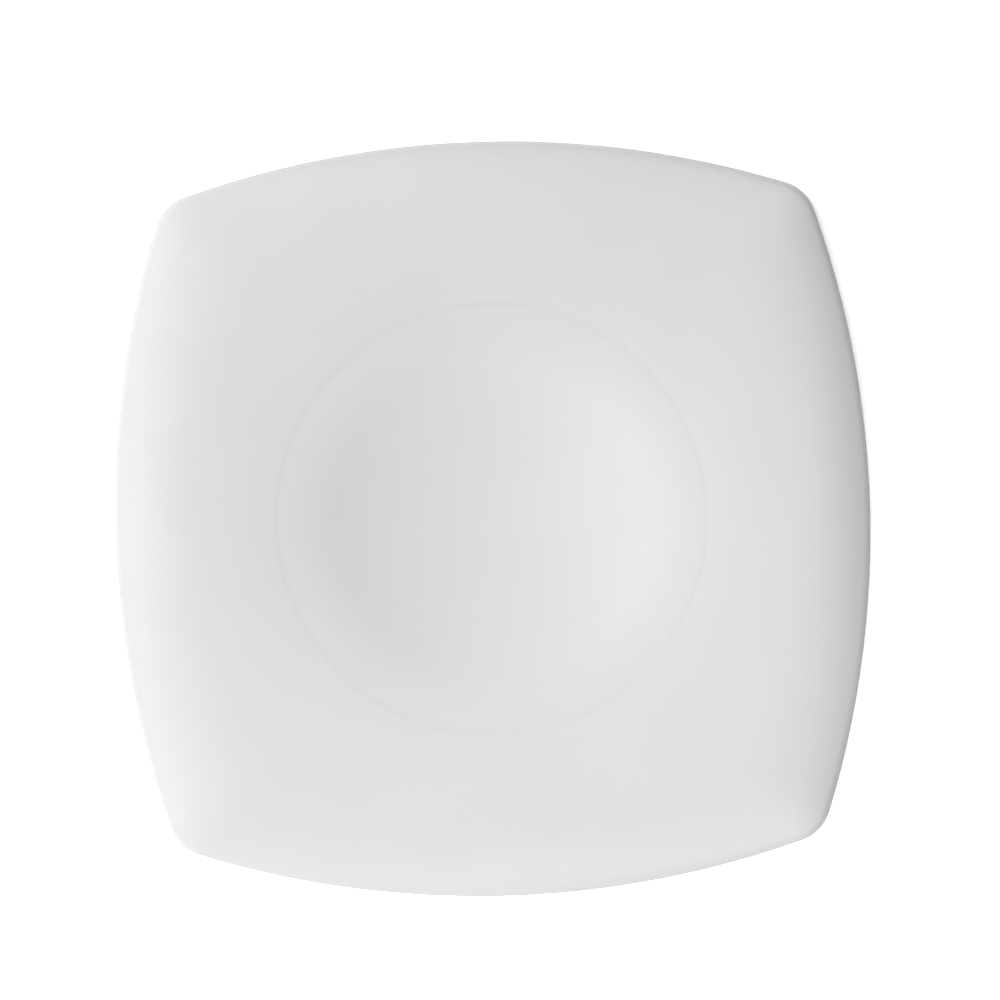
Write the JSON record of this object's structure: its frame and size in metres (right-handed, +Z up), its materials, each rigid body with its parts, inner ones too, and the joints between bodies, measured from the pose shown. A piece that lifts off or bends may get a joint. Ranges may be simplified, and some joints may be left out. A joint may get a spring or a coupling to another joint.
{
  "type": "square plate",
  "caption": "Square dinner plate in white glazed porcelain, with a round well, bowed sides that turn down at the edge, round corners and a bare foot ring to stand on.",
  "frame": {"origin": "under the middle of the well, on the surface that the foot ring stands on", "axes": "+Z up out of the well, +X and +Y towards the middles of two neighbouring sides"},
  "size_m": [0.254, 0.254, 0.0183],
  "materials": {
    "bare_porcelain": "fired and unglazed, matt and fine-grained",
    "white_glaze": "smooth glossy white glaze"
  },
  "bodies": {
    "root": {"porcelain_body": "bare_porcelain", "glaze_coat": "white_glaze", "base_glaze": "white_glaze"}
  },
  "joints": []
}
